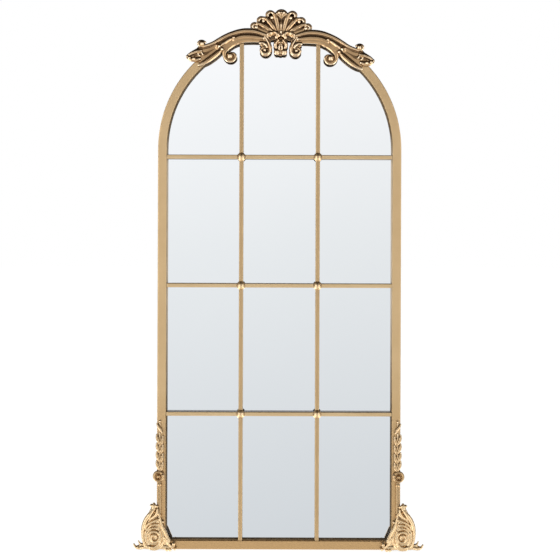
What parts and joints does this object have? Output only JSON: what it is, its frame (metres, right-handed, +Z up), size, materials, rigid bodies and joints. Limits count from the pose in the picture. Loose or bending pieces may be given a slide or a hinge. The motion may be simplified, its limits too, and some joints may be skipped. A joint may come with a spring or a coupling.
{
  "type": "wall mirror",
  "caption": "Tall arched wall mirror with a gold tube frame, window-pane glazing bars and cast shell, swag and scroll ornaments, hung on keyhole straps.",
  "frame": {"origin": "midway between the two keyholes, at the centre of the arch, on the wall plane", "axes": "+Z up, the mirror faces -Y, the wall is on the +Y side"},
  "size_m": [0.9574, 0.055, 1.7929],
  "materials": {
    "gold_frame": "brushed antique gold",
    "cast_gold": "burnished antique gold, dark in the hollows",
    "mirror": "silvered glass",
    "fibreboard": "raw fibreboard",
    "dark_strip": "matt dark brown",
    "rubber": "matt black",
    "zinc_steel": "zinc plated"
  },
  "bodies": {
    "frame": {"arch_rail": "gold_frame", "backing_board": "fibreboard", "bottom_rail": "gold_frame", "crossing_rosettes": "cast_gold", "crown_cartouche": "cast_gold", "crown_screws": "zinc_steel", "crown_shell": "cast_gold", "crown_swag_left": "cast_gold", "crown_swag_right": "cast_gold", "fluted_rod_left": "cast_gold", "fluted_rod_right": "cast_gold", "foot_screws": "zinc_steel", "foot_scroll_left": "cast_gold", "foot_scroll_right": "cast_gold", "garland_screws": "zinc_steel", "glazing_strips": "dark_strip", "hanger_screws": "zinc_steel", "keyhole_hanger_left": "zinc_steel", "keyhole_hanger_right": "zinc_steel", "leaf_drop_left": "cast_gold", "leaf_drop_right": "cast_gold", "left_stile": "gold_frame", "lower_bar_centre": "gold_frame", "lower_bar_left": "gold_frame", "lower_bar_right": "gold_frame", "middle_bar_centre": "gold_frame", "middle_bar_left": "gold_frame", "middle_bar_right": "gold_frame", "mirror_glass": "mirror", "right_stile": "gold_frame", "ring_rosette_left": "cast_gold", "ring_rosette_right": "cast_gold", "turn_button_screws": "zinc_steel", "upper_bar_centre": "gold_frame", "upper_bar_left": "gold_frame", "upper_bar_right": "gold_frame", "vertical_bar_left": "gold_frame", "vertical_bar_right": "gold_frame", "wall_bumper_left": "rubber", "wall_bumper_right": "rubber"},
    "turn_button_arch_left": {"turn_button_arch_left": "zinc_steel"},
    "turn_button_arch_right": {"turn_button_arch_right": "zinc_steel"},
    "turn_button_bottom_left": {"turn_button_bottom_left": "zinc_steel"},
    "turn_button_bottom_right": {"turn_button_bottom_right": "zinc_steel"},
    "turn_button_left_high": {"turn_button_left_high": "zinc_steel"},
    "turn_button_left_low": {"turn_button_left_low": "zinc_steel"},
    "turn_button_left_middle": {"turn_button_left_middle": "zinc_steel"},
    "turn_button_right_high": {"turn_button_right_high": "zinc_steel"},
    "turn_button_right_low": {"turn_button_right_low": "zinc_steel"},
    "turn_button_right_middle": {"turn_button_right_middle": "zinc_steel"}
  },
  "joints": [
    {"name": "button_arch_left_turn", "type": "hinge", "parent": "frame", "child": "turn_button_arch_left", "pos_m": [-0.274, -0.00315, 0.274], "axis": [0, 1, 0], "range_deg": [-90, 90]},
    {"name": "button_arch_right_turn", "type": "hinge", "parent": "frame", "child": "turn_button_arch_right", "pos_m": [0.274, -0.00315, 0.274], "axis": [0, 1, 0], "range_deg": [-90, 90]},
    {"name": "button_bottom_left_turn", "type": "hinge", "parent": "frame", "child": "turn_button_bottom_left", "pos_m": [-0.19, -0.00315, -1.309], "axis": [0, 1, 0], "range_deg": [-90, 90]},
    {"name": "button_bottom_right_turn", "type": "hinge", "parent": "frame", "child": "turn_button_bottom_right", "pos_m": [0.19, -0.00315, -1.309], "axis": [0, 1, 0], "range_deg": [-90, 90]},
    {"name": "button_left_high_turn", "type": "hinge", "parent": "frame", "child": "turn_button_left_high", "pos_m": [-0.3875, -0.00315, -0.224], "axis": [0, 1, 0], "range_deg": [-90, 90]},
    {"name": "button_left_low_turn", "type": "hinge", "parent": "frame", "child": "turn_button_left_low", "pos_m": [-0.3875, -0.00315, -0.979], "axis": [0, 1, 0], "range_deg": [-90, 90]},
    {"name": "button_left_middle_turn", "type": "hinge", "parent": "frame", "child": "turn_button_left_middle", "pos_m": [-0.3875, -0.00315, -0.584], "axis": [0, 1, 0], "range_deg": [-90, 90]},
    {"name": "button_right_high_turn", "type": "hinge", "parent": "frame", "child": "turn_button_right_high", "pos_m": [0.3875, -0.00315, -0.224], "axis": [0, 1, 0], "range_deg": [-90, 90]},
    {"name": "button_right_low_turn", "type": "hinge", "parent": "frame", "child": "turn_button_right_low", "pos_m": [0.3875, -0.00315, -0.979], "axis": [0, 1, 0], "range_deg": [-90, 90]},
    {"name": "button_right_middle_turn", "type": "hinge", "parent": "frame", "child": "turn_button_right_middle", "pos_m": [0.3875, -0.00315, -0.584], "axis": [0, 1, 0], "range_deg": [-90, 90]}
  ]
}
